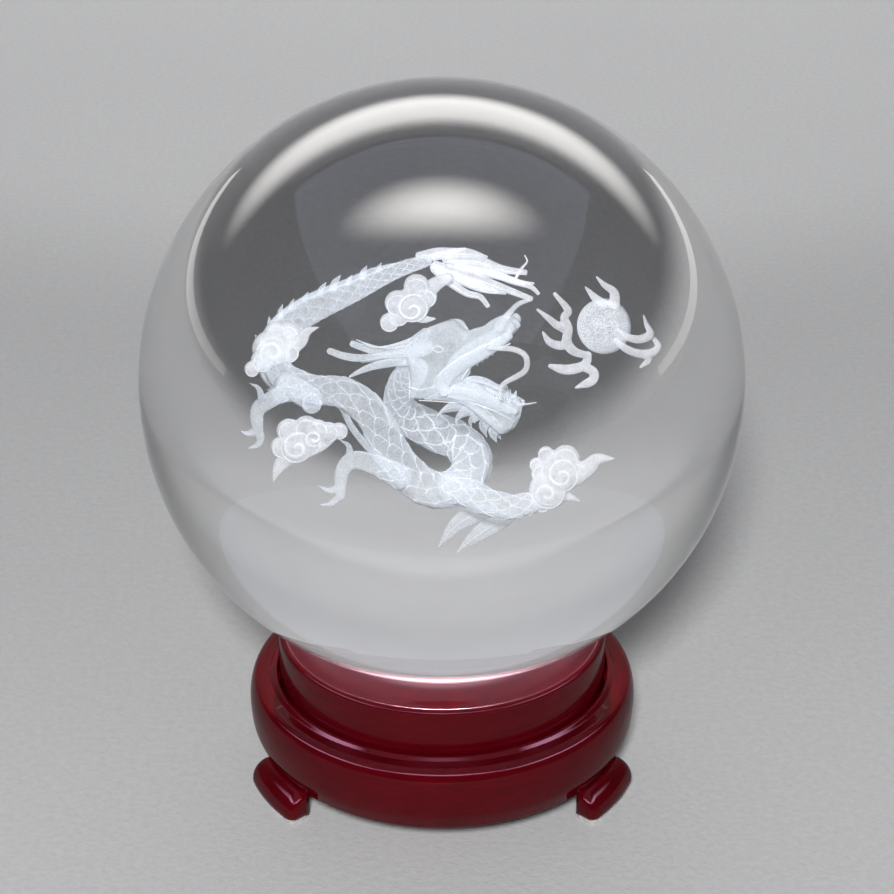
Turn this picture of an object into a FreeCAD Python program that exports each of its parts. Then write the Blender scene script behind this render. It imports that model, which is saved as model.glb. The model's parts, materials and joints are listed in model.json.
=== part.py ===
import FreeCAD, Part
import math
import os

Vector = FreeCAD.Vector

# Crystal ball with a dragon engraved inside the glass, on a lacquered turntable stand.
# Millimetres, +Z up. The origin is on the floor, on the axis that the ball and stand share.
# -Y is the front: the dragon looks to +X from there.

# ---- driving dimensions ----
BALL_R = 40.0
BALL_CENTRE_Z = 59.0

BASE_BOTTOM = 5.1            # underside of the base ring
BASE_TOP = 14.6              # flat ring round the drum
BASE_FLAT_R = 25.3           # where the flat ring starts to round over
BASE_WIDEST_R = 26.9
BASE_WIDEST_Z = 10.7
BASE_UNDER_R = 25.5

DRUM_R = 22.7
DRUM_TOP = 21.6
DRUM_EDGE_R = 0.8            # rounding of the drum's rim
DRUM_GAP = 0.3               # running gap between the drum and its recess
RECESS_FLOOR = 13.0
GLIDE_THICK = 0.6
GLIDE_INNER_R = 17.0
GLIDE_OUTER_R = 20.0
GLIDE_PLAY = 0.05

SEAT_RING_R = 13.2           # radius of the soft ring that the ball rests on
SEAT_RING_WIRE_R = 0.6
SEAT_PLAY = 0.08             # between the ball and its ring
DISH_INNER_Z = 20.75         # the dish is lowest beside the ring
POCKET_R = 11.4
POCKET_FLOOR = 18.0
LIP_Z = 20.3

SCREW_R = 1.5                # M3 pivot screw
SCREW_HEAD_R = 2.9
SCREW_HEAD_THICK = 2.2
SCREW_TIP_Z = 16.5
SOCKET_R = 1.25              # hexagon socket, half its width across flats
SOCKET_DEPTH = 1.3
BUSH_R = 2.5
BUSH_BORE_R = 1.55
INSERT_R = 2.3
INSERT_TOP = 16.6
WASHER_R = 4.0
WASHER_BORE_R = 1.6
WASHER_THICK = 0.5
HEAD_BORE_R = 4.6            # counterbore in the underside for the screw head
HEAD_BORE_TOP = 8.3

FOOT_TURNS = {"left": -60.0, "right": 60.0, "rear": 180.0}   # degrees round from the front
FOOT_HALF_ANGLE = 13.0
FOOT_INNER_R = 24.0
FOOT_TOP_R = 25.9
FOOT_CREST = (27.2, 4.2)     # radius and height
FOOT_OUTERMOST = (28.0, 1.9)
FOOT_BOTTOM_R = 27.7
PAD_THICK = 0.8
PAD_HALF_ANGLE = 11.0
PAD_INNER_R = 24.6
PAD_OUTER_R = 27.2

SIDE_HINT = (0.31, 0.2, 0.93)   # where a strand's seam starts, so that it never twists
POLE_HINT = (0.3, 1.0, 0.2)     # turns each puff's poles away from its neighbours


# ---- shape helpers ----
def centre(x, y, z):
    """A place inside the ball, measured from the ball's centre."""
    return Vector(x, y, z + BALL_CENTRE_Z)


def line(a, b):
    """A straight edge between two (radius, height) points."""
    return Part.LineSegment(Vector(a[0], 0, a[1]), Vector(b[0], 0, b[1])).toShape()


def chain(points):
    """Straight edges through (radius, height) points."""
    return [line(a, b) for a, b in zip(points, points[1:])]


def arc(a, middle, b):
    """An arc through three (radius, height) points."""
    ends = [Vector(p[0], 0, p[1]) for p in (a, middle, b)]
    return Part.Arc(*ends).toShape()


def lathe(edges, degrees=360.0, start=0.0):
    """Turn a closed outline round the Z axis."""
    wire = Part.Wire(Part.__sortEdges__(edges))
    solid = Part.Face(wire).revolve(Vector(0, 0, 0), Vector(0, 0, 1), degrees)
    solid.rotate(Vector(0, 0, 0), Vector(0, 0, 1), start)
    return solid


def ring(inner_r, outer_r, bottom, top):
    """A flat washer or sleeve round the Z axis."""
    height = top - bottom
    outer = Part.makeCylinder(outer_r, height, Vector(0, 0, bottom))
    return outer.cut(Part.makeCylinder(inner_r, height, Vector(0, 0, bottom)))


def front_angle(turn):
    """Degrees from +X for a place that is turn degrees round from the front."""
    return turn - 90.0


def strand(points, radii, sections=10):
    """A round tapering strand along a smooth path, through circles square to it.

    points are (x, y, z) from the ball's centre; radii are spread evenly along the path."""
    path = Part.BSplineCurve()
    path.interpolate([centre(*p) for p in points])
    first, last = path.FirstParameter, path.LastParameter
    side = Vector(*SIDE_HINT)
    circles = []
    for i in range(sections + 1):
        share = i / sections
        at = first + share * (last - first)
        place = share * (len(radii) - 1)
        low = min(int(place), len(radii) - 2)
        radius = radii[low] + (place - low) * (radii[low + 1] - radii[low])
        along = path.tangent(at)[0]
        side = (side - along * side.dot(along)).normalize()
        circle = Part.Circle(path.value(at), along, radius)
        circle.XAxis = side
        circles.append(Part.Wire(circle.toShape()))
    return Part.makeLoft(circles, True, True)


def joined(solids):
    """One solid out of several that overlap."""
    first, rest = solids[0], solids[1:]
    return first.multiFuse(rest) if rest else first


def puffs(balls, tails=()):
    """A cloud: overlapping balls (x, y, z, radius) with pointed tails."""
    pole = Vector(*POLE_HINT)
    solids = [Part.makeSphere(r, centre(x, y, z), pole) for x, y, z, r in balls]
    solids += [strand(points, radii, 6) for points, radii in tails]
    return joined(solids)


# ---- stand ----
def base_body():
    """The turned base ring: recess for the drum above, counterbore for the screw below."""
    recess_r = DRUM_R + DRUM_GAP
    shoulder = Part.BSplineCurve()
    outline = [(BASE_FLAT_R, BASE_TOP), (26.2, 14.1), (26.75, 12.7),
               (BASE_WIDEST_R, BASE_WIDEST_Z), (26.6, 7.8), (BASE_UNDER_R, BASE_BOTTOM)]
    shoulder.interpolate([Vector(r, 0, z) for r, z in outline])
    inner = chain([(BASE_UNDER_R, BASE_BOTTOM), (HEAD_BORE_R, BASE_BOTTOM),
                   (HEAD_BORE_R, HEAD_BORE_TOP), (BUSH_R, HEAD_BORE_TOP),
                   (BUSH_R, RECESS_FLOOR), (recess_r, RECESS_FLOOR),
                   (recess_r, BASE_TOP), (BASE_FLAT_R, BASE_TOP)])
    return lathe([shoulder.toShape()] + inner)


def foot(turn):
    """One curved bar foot, glued under the base ring, with a rounded outside."""
    inner = chain([(FOOT_BOTTOM_R, PAD_THICK), (FOOT_INNER_R, PAD_THICK),
                   (FOOT_INNER_R, BASE_BOTTOM), (FOOT_TOP_R, BASE_BOTTOM)])
    outside = Part.BSplineCurve()
    outline = [(FOOT_TOP_R, BASE_BOTTOM), FOOT_CREST, FOOT_OUTERMOST,
               (FOOT_BOTTOM_R, PAD_THICK)]
    outside.interpolate([Vector(r, 0, z) for r, z in outline])
    start = front_angle(turn) - FOOT_HALF_ANGLE
    return lathe([outside.toShape()] + inner, 2 * FOOT_HALF_ANGLE, start)


def foot_pad(turn):
    """The thin clear pad under one foot."""
    outline = chain([(PAD_INNER_R, 0), (PAD_OUTER_R, 0), (PAD_OUTER_R, PAD_THICK),
                     (PAD_INNER_R, PAD_THICK), (PAD_INNER_R, 0)])
    start = front_angle(turn) - PAD_HALF_ANGLE
    return lathe(outline, 2 * PAD_HALF_ANGLE, start)


def glide_ring():
    """The slippery ring that the drum turns on."""
    return ring(GLIDE_INNER_R, GLIDE_OUTER_R, RECESS_FLOOR, RECESS_FLOOR + GLIDE_THICK)


# ---- turntable ----
def drum_bottom():
    return RECESS_FLOOR + GLIDE_THICK + GLIDE_PLAY


def seat_ring_z():
    """Height of the soft ring's centre line, so that the ball just clears it."""
    reach = BALL_R + SEAT_RING_WIRE_R + SEAT_PLAY
    return BALL_CENTRE_Z - math.sqrt(reach ** 2 - SEAT_RING_R ** 2)


def seat_drum():
    """The drum that carries the ball: a shallow dish with a groove for the soft ring."""
    bottom = drum_bottom()
    groove_z = seat_ring_z() - SEAT_RING_WIRE_R
    groove_in = SEAT_RING_R - SEAT_RING_WIRE_R
    groove_out = SEAT_RING_R + SEAT_RING_WIRE_R
    rim_r = DRUM_R - DRUM_EDGE_R
    edge = DRUM_EDGE_R * (1 - math.sqrt(0.5))
    dish = arc((rim_r, DRUM_TOP), (18.2, 21.05), (groove_out, DISH_INNER_Z))
    rim = arc((DRUM_R, DRUM_TOP - DRUM_EDGE_R), (DRUM_R - edge, DRUM_TOP - edge),
              (rim_r, DRUM_TOP))
    hollow = chain([(groove_out, DISH_INNER_Z), (groove_out, groove_z),
                    (groove_in, groove_z), (groove_in, LIP_Z), (POCKET_R, LIP_Z),
                    (POCKET_R, POCKET_FLOOR), (0, POCKET_FLOOR), (0, INSERT_TOP),
                    (INSERT_R, INSERT_TOP), (INSERT_R, bottom),
                    (DRUM_R - DRUM_GAP, bottom), (DRUM_R, bottom + DRUM_GAP),
                    (DRUM_R, DRUM_TOP - DRUM_EDGE_R)])
    return lathe([rim, dish] + hollow)


def seat_ring():
    """The soft ring between ball and drum."""
    return Part.makeTorus(SEAT_RING_R, SEAT_RING_WIRE_R, Vector(0, 0, seat_ring_z()))


def pivot_screw():
    """Socket-head screw from below: it turns with the drum, inside the bush."""
    head_top = HEAD_BORE_TOP - WASHER_THICK - GLIDE_PLAY
    head_bottom = head_top - SCREW_HEAD_THICK
    head = Part.makeCylinder(SCREW_HEAD_R, SCREW_HEAD_THICK, Vector(0, 0, head_bottom))
    shank = Part.makeCylinder(SCREW_R, SCREW_TIP_Z - head_bottom - 1, Vector(0, 0, head_bottom + 1))
    corner_r = SOCKET_R / math.cos(math.pi / 6)
    corners = [Vector(corner_r * math.cos(i * math.pi / 3),
                      corner_r * math.sin(i * math.pi / 3), head_bottom) for i in range(7)]
    socket = Part.Face(Part.makePolygon(corners)).extrude(Vector(0, 0, SOCKET_DEPTH))
    return head.fuse(shank).cut(socket).removeSplitter()


# ---- engraving: plain solids that hold each motif's place and size ----
def dragon_body():
    """Neck, belly coils and tail root, in one long loop."""
    route = [(-2.5, -2.0, 2.0), (-3.5, 0.0, -0.5), (-3.5, 1.5, -3.5), (-1.0, 2.0, -5.5),
             (1.5, 1.8, -6.6), (2.6, -1.0, -7.4), (1.0, -4.8, -8.2), (-1.6, -6.3, -7.4),
             (-4.2, -7.0, -4.4), (-6.5, -6.9, 0.0), (-9.0, -6.0, 1.7), (-12.0, -4.0, 1.2),
             (-14.6, -1.5, 1.7), (-14.3, 2.2, 3.1), (-11.5, 5.0, 4.1), (-7.2, 7.5, 4.8),
             (-4.0, 8.0, 6.3), (-1.3, 8.0, 7.4)]
    radii = [1.3, 1.2, 1.5, 1.6, 1.5, 1.6, 1.5, 1.35, 1.2, 1.15, 1.0, 0.7, 0.5]
    return strand(route, radii, 48)


def dragon_head():
    """Skull and upper jaw."""
    skull = Part.makeSphere(2.4, centre(-1.0, -4.0, 4.4))
    snout = strand([(-2.6, -3.2, 3.4), (0.5, -4.3, 5.3), (3.4, -5.0, 6.4), (6.2, -5.8, 8.0)],
                   [1.8, 2.0, 1.3, 1.0, 0.9], 8)
    return joined([skull, snout])


def dragon_jaw():
    """Open lower jaw with its chin."""
    return strand([(-0.8, -3.2, 2.3), (2.0, -4.0, 1.2), (4.6, -5.0, -0.3), (6.4, -5.5, -1.2)],
                  [1.3, 1.0, 1.3, 0.6], 8)


def dragon_antlers():
    """Two antlers and an ear, swept back."""
    long_one = strand([(-2.4, -3.2, 4.6), (-5.1, -2.5, 4.2), (-7.8, -2.0, 3.8), (-9.9, -1.5, 3.8)],
                      [1.2, 0.7, 0.5, 0.4])
    short_one = strand([(-2.4, -5.2, 5.2), (-5.1, -5.4, 5.0), (-7.2, -5.4, 5.3), (-8.4, -5.4, 5.7)],
                       [0.9, 0.5, 0.4, 0.4])
    ear = strand([(-3.2, -5.4, 2.6), (-5.1, -6.2, 2.9), (-7.0, -6.8, 2.7), (-8.2, -7.2, 2.2)],
                 [0.7, 0.6, 0.4, 0.25])
    return Part.makeCompound([long_one, short_one, ear])


def dragon_whiskers():
    """Nose feeler, the long curled whisker and the chin whisker."""
    feeler = strand([(5.4, -5.5, 9.3), (6.2, -5.5, 10.7), (7.6, -5.5, 11.6)], [0.5, 0.4, 0.3], 6)
    curl = strand([(5.3, -6.5, 6.8), (7.3, -7.5, 7.3), (8.7, -8.0, 6.1), (8.0, -8.0, 4.4),
                   (6.3, -7.5, 3.0), (5.9, -6.5, 1.5)], [0.35, 0.4, 0.35], 14)
    chin = strand([(7.2, -6.0, 0.5), (8.7, -6.0, 0.8)], [0.25, 0.15], 2)
    return Part.makeCompound([feeler, curl, chin])


def dragon_crest():
    """The fin along the back of the tail half."""
    return strand([(-15.6, 0.8, 4.4), (-13.6, 4.2, 5.8), (-11.0, 5.2, 6.4), (-8.4, 7.0, 6.6),
                   (-5.0, 8.0, 7.3)], [0.3, 0.5, 0.5, 0.3])


def dragon_tail_tuft():
    """Flame-like strands at the end of the tail."""
    routes = [[(-1.9, 8.2, 8.4), (1.2, 8.4, 8.8), (3.9, 8.2, 8.0), (7.0, 7.4, 7.0)],
              [(-0.4, 7.4, 7.0), (2.4, 7.0, 6.7), (5.4, 6.6, 6.0), (8.1, 6.2, 5.2)],
              [(-0.1, 5.8, 5.9), (1.8, 5.6, 5.1), (4.0, 5.4, 4.2)]]
    return Part.makeCompound([strand(route, [0.5, 0.7, 0.3], 8) for route in routes])


def leg(route, radii, claws):
    """A leg along its route, with claws."""
    return joined([strand(route, radii, 12)] + [strand(c, [0.45, 0.35, 0.12], 4) for c in claws])


def dragon_foreleg_left():
    """Left foreleg, reaching out to the left with its claws down."""
    return leg([(-3.9, -7.6, -6.0), (-6.1, -8.5, -4.5), (-8.2, -9.0, -3.8), (-9.3, -9.5, -4.8),
                (-9.5, -10.0, -7.0)], [1.2, 1.0, 0.9, 0.7, 0.4],
               [[(-8.3, -9.0, -3.8), (-8.6, -9.0, -2.4), (-9.6, -9.0, -1.7)],
                [(-9.4, -10.0, -6.3), (-10.6, -10.0, -6.5), (-11.6, -10.0, -6.2)],
                [(-9.4, -10.0, -6.9), (-10.3, -10.0, -7.8), (-11.5, -10.0, -8.0)]])


def dragon_foreleg_right():
    """Right foreleg, whose paw is in the right-hand cloud."""
    return strand([(0.9, -5.8, -7.7), (2.6, -6.5, -8.1), (4.1, -7.0, -8.7), (6.2, -7.0, -9.2),
                   (8.0, -6.5, -9.0)], [1.3, 1.2, 1.1, 0.9], 10)


def dragon_hindleg():
    """Hind leg at the far left, with its claws down."""
    return leg([(-13.8, -3.4, 0.9), (-15.6, -5.0, 0.7), (-17.1, -5.5, -0.2), (-17.2, -6.0, -1.6),
                (-16.8, -6.0, -3.0)], [1.2, 0.8, 0.7, 0.6, 0.4],
               [[(-16.7, -5.5, 0.4), (-17.2, -5.5, 1.9), (-18.2, -5.5, 2.5)],
                [(-17.1, -6.0, -2.0), (-18.0, -6.0, -2.5), (-18.9, -6.0, -2.4)],
                [(-16.8, -6.0, -2.7), (-17.0, -6.0, -3.6), (-18.0, -6.0, -4.0)]])


def dragon_leg_flames():
    """The two leaf-shaped flames at the elbow of the right foreleg."""
    routes = [[(4.3, -6.0, -10.0), (2.5, -5.5, -11.0), (1.0, -5.0, -12.2), (-0.3, -4.5, -13.7)],
              [(5.9, -6.0, -10.8), (4.3, -5.5, -11.7), (2.7, -5.0, -13.0), (1.3, -4.5, -14.2)]]
    return Part.makeCompound([strand(route, [0.25, 0.55, 0.5, 0.12], 8) for route in routes])


def cloud_top():
    return puffs([(-2.6, 4.0, 5.4, 1.7), (-2.2, 4.5, 7.0, 1.1), (-3.8, 4.0, 5.6, 1.1),
                  (-4.5, 3.6, 3.9, 0.8)],
                 [([(-1.8, 4.4, 5.8), (-0.6, 5.0, 6.8), (0.4, 5.0, 7.3)], [0.9, 0.5, 0.3])])


def cloud_left():
    return puffs([(-15.3, 0.0, 3.3, 1.8), (-13.9, 1.0, 4.1, 1.2), (-16.2, -1.0, 2.6, 1.0),
                  (-17.2, -1.5, 2.0, 0.65)],
                 [([(-14.0, 0.0, 3.2), (-12.6, 0.0, 4.0), (-11.2, 0.0, 5.2)], [1.0, 0.6, 0.15])])


def cloud_low():
    return puffs([(-13.1, -4.0, -4.1, 1.7), (-13.6, -4.0, -2.9, 1.1), (-11.6, -4.0, -2.8, 1.2),
                  (-10.4, -4.0, -3.0, 1.0), (-9.4, -4.0, -2.8, 0.75), (-11.8, -4.0, -4.3, 1.0)],
                 [([(-13.4, -4.0, -5.0), (-14.0, -4.0, -6.4), (-15.0, -4.0, -7.8)],
                   [1.2, 0.7, 0.15])])


def cloud_right():
    return puffs([(10.8, -6.0, -6.3, 1.9), (9.6, -6.4, -7.8, 1.8), (9.6, -5.6, -4.9, 0.8),
                  (11.2, -5.6, -5.0, 1.2), (8.5, -5.6, -6.0, 0.7)],
                 [([(12.0, -6.0, -6.4), (13.7, -6.0, -5.4), (15.7, -6.0, -4.9)], [1.0, 0.7, 0.15])])


def flaming_pearl():
    return Part.makeSphere(2.6, centre(15.0, -2.0, 6.6))


def pearl_flames():
    """Wisps of fire that stream off the pearl; each one stands clear of the others."""
    wisps = [[(13.2, -3.6, 4.4), (11.7, -4.0, 5.6), (11.8, -4.0, 8.2), (10.7, -4.0, 11.1)],
             [(13.0, -3.0, 3.6), (11.6, -3.5, 3.1), (10.0, -4.0, 3.7)],
             [(15.9, -2.0, 9.0), (15.9, -2.0, 10.8), (14.7, -2.0, 11.9)],
             [(17.2, -4.0, 8.2), (18.5, -4.0, 6.9), (19.9, -3.2, 7.0), (19.3, -3.0, 8.3)],
             [(16.6, -4.4, 5.9), (18.2, -4.0, 5.1), (19.7, -3.5, 4.6), (20.4, -3.0, 5.6)]]
    return Part.makeCompound([strand(wisp, [0.45, 0.45, 0.15], 8) for wisp in wisps])


# ---- every piece, by name ----
def all_pieces():
    washer_bottom = HEAD_BORE_TOP - WASHER_THICK
    pieces = {
        "base_body": base_body(),
        "pivot_bush": ring(BUSH_BORE_R, BUSH_R, HEAD_BORE_TOP, RECESS_FLOOR),
        "pivot_washer": ring(WASHER_BORE_R, WASHER_R, washer_bottom, HEAD_BORE_TOP),
        "glide_ring": glide_ring(),
        "seat_drum": seat_drum(),
        "seat_ring": seat_ring(),
        "pivot_screw": pivot_screw(),
        "drum_insert": ring(SCREW_R, INSERT_R, drum_bottom(), INSERT_TOP),
        "crystal_ball": Part.makeSphere(BALL_R, centre(0, 0, 0)),
    }
    for side, turn in FOOT_TURNS.items():
        pieces["foot_" + side] = foot(turn)
        pieces["foot_pad_" + side] = foot_pad(turn)
    motifs = [dragon_body, dragon_head, dragon_jaw, dragon_antlers, dragon_whiskers,
              dragon_crest, dragon_tail_tuft, dragon_foreleg_left, dragon_foreleg_right,
              dragon_hindleg, dragon_leg_flames, cloud_top, cloud_left, cloud_low,
              cloud_right, flaming_pearl, pearl_flames]
    for motif in motifs:
        pieces[motif.__name__] = motif()
    return pieces


def main():
    os.makedirs("parts", exist_ok=True)
    for name, shape in all_pieces().items():
        shape.exportStep("parts/" + name + ".step")
        valid = "valid" if shape.isValid() else "NOT VALID"
        print(name, valid, "solids", len(shape.Solids), "mm3 %.2f" % shape.Volume)


main()
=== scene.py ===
import json
import math

import bpy
import numpy as np
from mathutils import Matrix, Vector
from mathutils.geometry import delaunay_2d_cdt


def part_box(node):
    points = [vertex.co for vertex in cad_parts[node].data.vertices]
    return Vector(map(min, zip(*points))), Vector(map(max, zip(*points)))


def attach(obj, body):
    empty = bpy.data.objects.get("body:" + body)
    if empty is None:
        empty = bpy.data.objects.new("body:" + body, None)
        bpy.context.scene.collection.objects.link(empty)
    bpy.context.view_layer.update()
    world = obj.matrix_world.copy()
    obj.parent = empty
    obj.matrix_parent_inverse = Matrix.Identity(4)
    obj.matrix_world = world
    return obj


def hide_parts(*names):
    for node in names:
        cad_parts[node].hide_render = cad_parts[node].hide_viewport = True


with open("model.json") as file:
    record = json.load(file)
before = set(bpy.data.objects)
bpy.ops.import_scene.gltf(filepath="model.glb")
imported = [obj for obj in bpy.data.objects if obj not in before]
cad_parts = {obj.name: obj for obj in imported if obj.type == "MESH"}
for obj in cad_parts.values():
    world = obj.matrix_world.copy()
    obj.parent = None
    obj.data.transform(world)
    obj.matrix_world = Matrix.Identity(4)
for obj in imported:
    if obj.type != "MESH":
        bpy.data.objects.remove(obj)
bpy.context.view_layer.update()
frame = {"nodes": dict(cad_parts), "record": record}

# A clear glass ball with a dragon engraved inside it, on a lacquered turntable stand.
# Metres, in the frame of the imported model. Places inside the ball are given in
# millimetres from the ball's centre: +X to the dragon's nose, -Y to the front, +Z up.
# Outlines of the stand are given in millimetres from its axis and up from the table.

MM = 0.001


def middle(box):
    return (box[0] + box[1]) / 2


def size(box):
    return box[1] - box[0]


BALL_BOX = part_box("crystal_ball")
BALL_CENTRE = Vector((0, 0, middle(BALL_BOX).z))
BALL_R = min(size(BALL_BOX)) / 2


# ---------------------------------------------------------------- geometry helpers
TINY = 1e-12
STEPS_PER_SPAN = 24  # of a smooth line, before it is spread evenly
CAP_ANGLES = (0.35, 0.7, 1.0, 1.3)  # of the rings that round a tube's end, in radians
GRID_ROW = 0.87  # rows of a plate's triangles, as a share of their pitch
EDGE_GAP = 0.6  # and how clear of the outline they keep


def unit(v):
    return v / np.maximum(np.linalg.norm(v, axis=-1, keepdims=True), TINY)


def curve(points, count):
    """A smooth line through the points: count places spread evenly along it."""
    p = np.array(points, float)
    if len(p) == 2:
        return p[0] + np.linspace(0, 1, count)[:, None] * (p[1] - p[0])
    p = np.vstack([2 * p[0] - p[1], p, 2 * p[-1] - p[-2]])
    dense = []
    for a, b, c, d in zip(p, p[1:], p[2:], p[3:]):
        t = np.linspace(0, 1, STEPS_PER_SPAN, endpoint=False)[:, None]
        dense.append(0.5 * (2 * b + (c - a) * t + (2 * a - 5 * b + 4 * c - d) * t ** 2
                            + (3 * b - a - 3 * c + d) * t ** 3))
    dense = np.vstack(dense + [p[-2:-1]])
    along = np.concatenate([[0], np.cumsum(np.linalg.norm(np.diff(dense, axis=0), axis=1))])
    at = np.linspace(0, along[-1], count)
    return np.stack([np.interp(at, along, dense[:, k]) for k in range(3)], axis=1)


def spread(values, count):
    """The values spread evenly over count places."""
    return np.interp(np.linspace(0, 1, count), np.linspace(0, 1, len(values)), values)


def frames(path, hint):
    """Tangent, wide side and thin side along a path; the wide side starts near hint."""
    tangent = unit(np.gradient(path, axis=0))
    wide = np.array(hint, float)
    sides = []
    for t in tangent:
        wide = wide - t * wide.dot(t)
        if np.linalg.norm(wide) < 1e-6:
            wide = np.cross(t, (0.3, 0.5, 0.8))
        wide = wide / np.linalg.norm(wide)
        sides.append(wide)
    sides = np.array(sides)
    return tangent, sides, np.cross(tangent, sides)


class Build:
    """Collects faces for one object."""

    def __init__(self):
        self.verts, self.faces, self.slots, self.count = [], [], [], 0

    def add(self, verts, faces, slot=0):
        verts = np.asarray(verts, float)
        self.verts.append(verts)
        self.faces += [tuple(i + self.count for i in f) for f in faces]
        self.slots += [slot] * len(faces)
        self.count += len(verts)

    def rings(self, rings, slot=0):
        """A skin over rings of equal size, closed to a point at each end."""
        rings = np.asarray(rings, float)
        rows, sides, _ = rings.shape
        verts = rings.reshape(-1, 3)
        faces = []
        for row in range(0, (rows - 1) * sides, sides):
            for j in range(sides):
                k = (j + 1) % sides
                faces.append((row + j, row + k, row + sides + k, row + sides + j))
        verts = np.vstack([verts, rings[0].mean(0), rings[-1].mean(0)])
        first, last = rows * sides, rows * sides + 1
        base = (rows - 1) * sides
        for j in range(sides):
            k = (j + 1) % sides
            faces.append((first, k, j))
            faces.append((last, base + j, base + k))
        self.add(verts, faces, slot)

    def tube(self, path, radii, sides=12, flat=1.0, hint=(0, -1, 0), slot=0, relief=None):
        """A tube with rounded ends. radii are spread along it, or give one for each place.

        flat is its thickness along hint, as a share of its width. relief scales its surface."""
        path = np.asarray(path, float)
        radii = spread(radii, len(path)) if len(radii) != len(path) else np.asarray(radii)
        tangent, wide, thin = frames(path, np.cross(hint, path[1] - path[0]))
        turn = np.linspace(0, 2 * np.pi, sides, endpoint=False)
        cos, sin = np.cos(turn)[None, :, None], np.sin(turn)[None, :, None] * flat
        grow = np.ones((len(path), sides)) if relief is None else relief
        r = (radii[:, None] * grow)[:, :, None]
        body = path[:, None] + r * (cos * wide[:, None] + sin * thin[:, None])
        ends = []
        for at, sign in ((0, -1), (-1, 1)):
            cap = []
            for a in CAP_ANGLES:
                centre = path[at] + sign * tangent[at] * radii[at] * math.sin(a) * min(1, flat)
                cap.append(centre + math.cos(a) * (body[at] - path[at]))
            ends.append(cap)
        self.rings(np.concatenate([ends[0][::-1], body, ends[1]]), slot)

    def strand(self, route, count, radii, **look):
        """A tube along the smooth line through the route."""
        self.tube(curve(route, count), radii, **look)

    def ball(self, centre, r, squash=(1, 1, 1), rows=16):
        """A rounded lump."""
        up = np.linspace(-np.pi / 2, np.pi / 2, rows + 1)[1:-1]
        turn = np.linspace(0, 2 * np.pi, rows * 2, endpoint=False)
        rings = [[(math.cos(a) * math.cos(t), math.cos(a) * math.sin(t), math.sin(a))
                  for t in turn] for a in up]
        self.rings(np.array(rings) * r * np.array(squash) + np.array(centre, float))

    def plate(self, outline, place, thick, round_off, pitch, bumps):
        """A flat outline puffed up on both sides: thick in the middle, closed at its edge.

        place turns (h, k) and a depth into a place in space. Its faces swell over the
        round_off nearest the edge. Bumps are (h, k, reach, height)."""
        edge = np.array(outline, float)
        around = []
        for a, b in zip(edge, np.roll(edge, -1, axis=0)):
            n = max(1, round(np.linalg.norm(b - a) / pitch))
            around += [a + (b - a) * i / n for i in range(n)]
        around = np.array(around)
        low, high = around.min(0), around.max(0)
        inner = []
        for i, k in enumerate(np.arange(low[1], high[1], pitch * GRID_ROW)):
            for h in np.arange(low[0] + (i % 2) * pitch / 2, high[0], pitch):
                inner.append((h, k))
        inner = np.array(inner)
        clear = edge_distance(inner, around) > pitch * EDGE_GAP
        inner = inner[clear & inside(inner, around)]
        points = [Vector(p) for p in np.vstack([around, inner])]
        n = len(around)
        ring = [(i, (i + 1) % n) for i in range(n)]
        flat, _, tris, *_ = delaunay_2d_cdt(points, ring, [], 1, 1e-7)
        flat = np.array([tuple(p) for p in flat])
        depth = edge_distance(flat, around)
        share = np.clip(depth / round_off, 0, 1)
        up = thick * np.sqrt(1 - (1 - share) ** 2)
        for h, k, reach, height in bumps:
            near = ((flat - (h, k)) ** 2).sum(1) / reach ** 2
            up += height * np.exp(-near) * np.minimum(share * 3, 1)
        rim = depth < 1e-6
        front = np.array([place(h, k, -u) for (h, k), u in zip(flat, up)])
        back = np.array([place(h, k, u) for (h, k), u in zip(flat, up)])
        other = np.where(rim, np.arange(len(flat)), np.arange(len(flat)) + len(flat))
        faces = [tuple(t) for t in tris]
        faces += [tuple(int(other[i]) for i in reversed(t)) for t in tris]
        self.add(np.vstack([front, back]), faces)


def inside(points, around):
    """Which points lie in the closed outline."""
    x, y = points[:, 0][:, None], points[:, 1][:, None]
    a, b = around, np.roll(around, -1, axis=0)
    spans = (a[:, 1] > y) != (b[:, 1] > y)
    rise = np.where(np.abs(b[:, 1] - a[:, 1]) < TINY, TINY, b[:, 1] - a[:, 1])
    cross = (b[:, 0] - a[:, 0]) * (y - a[:, 1]) / rise + a[:, 0]
    return (spans & (x < cross)).sum(1) % 2 == 1


def edge_distance(points, around):
    """How far each point is from the closed outline."""
    a, b = around, np.roll(around, -1, axis=0)
    ab = b - a
    t = ((points[:, None] - a) * ab).sum(2) / np.maximum((ab ** 2).sum(1), TINY)
    nearest = a + np.clip(t, 0, 1)[:, :, None] * ab
    return np.linalg.norm(points[:, None] - nearest, axis=2).min(1)


def in_ball(verts):
    """Millimetres from the ball's centre to metres in the frame."""
    return np.asarray(verts) * MM + np.array(BALL_CENTRE)


def make_object(name, verts, faces, slots, materials):
    mesh = bpy.data.meshes.new(name)
    mesh.from_pydata([tuple(v) for v in verts], [], faces)
    for m in materials:
        mesh.materials.append(m)
    mesh.polygons.foreach_set("material_index", slots)
    mesh.polygons.foreach_set("use_smooth", [True] * len(mesh.polygons))
    mesh.validate()
    obj = bpy.data.objects.new(name, mesh)
    bpy.context.scene.collection.objects.link(obj)
    return obj


def engraved(name, build, materials):
    verts = in_ball(np.vstack(build.verts))
    return make_object(name + "_marks", verts, build.faces, build.slots, materials)


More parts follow.
